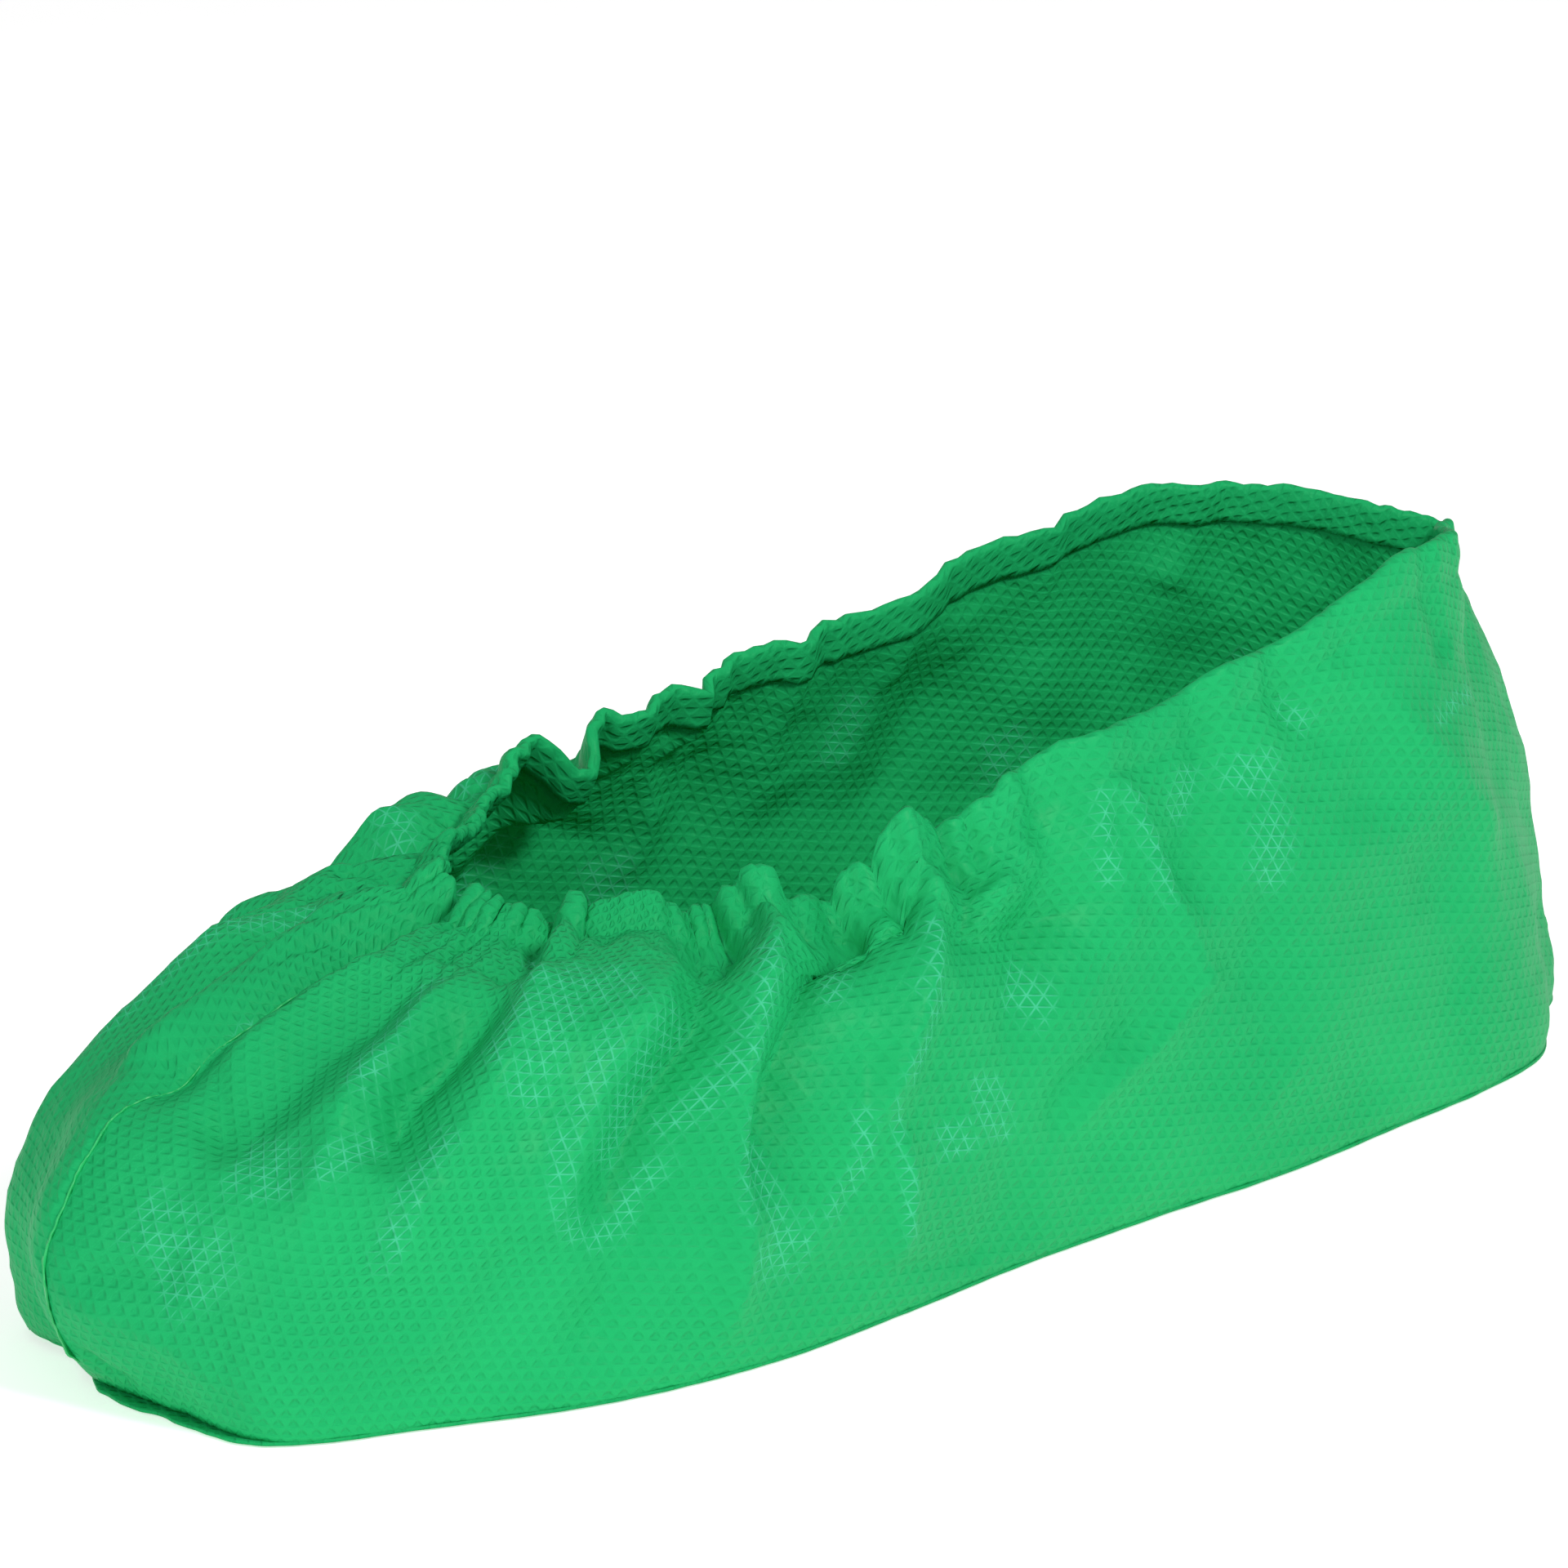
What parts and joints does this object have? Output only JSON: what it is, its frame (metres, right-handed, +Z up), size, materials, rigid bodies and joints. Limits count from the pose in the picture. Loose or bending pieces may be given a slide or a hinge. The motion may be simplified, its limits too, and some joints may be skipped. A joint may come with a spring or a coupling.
{
  "type": "disposable shoe cover",
  "caption": "Thin embossed plastic film overshoe with a gathered elastic collar, welded toe and heel seams and a flat film sole, in its worn form.",
  "frame": {"origin": "on the floor, under the middle of the whole overshoe", "axes": "+X from the heel to the toe, +Y to the wearer's left, +Z up; it stands on the sole's lower face"},
  "size_m": [0.348, 0.1254, 0.1012],
  "materials": {
    "film_upper": "satin green film, pressed with a fine pattern of triangles",
    "film_sole": "satin green film, pressed with a fine pattern of triangles",
    "film_hem": "satin green film, folded and finely gathered",
    "film_seam": "crimped heat weld",
    "elastic": "flat natural rubber band"
  },
  "bodies": {
    "root": {"upper": "film_upper", "sole": "film_sole", "hem_casing": "film_hem", "elastic_band": "elastic", "toe_seam": "film_seam", "heel_seam": "film_seam"}
  },
  "joints": []
}
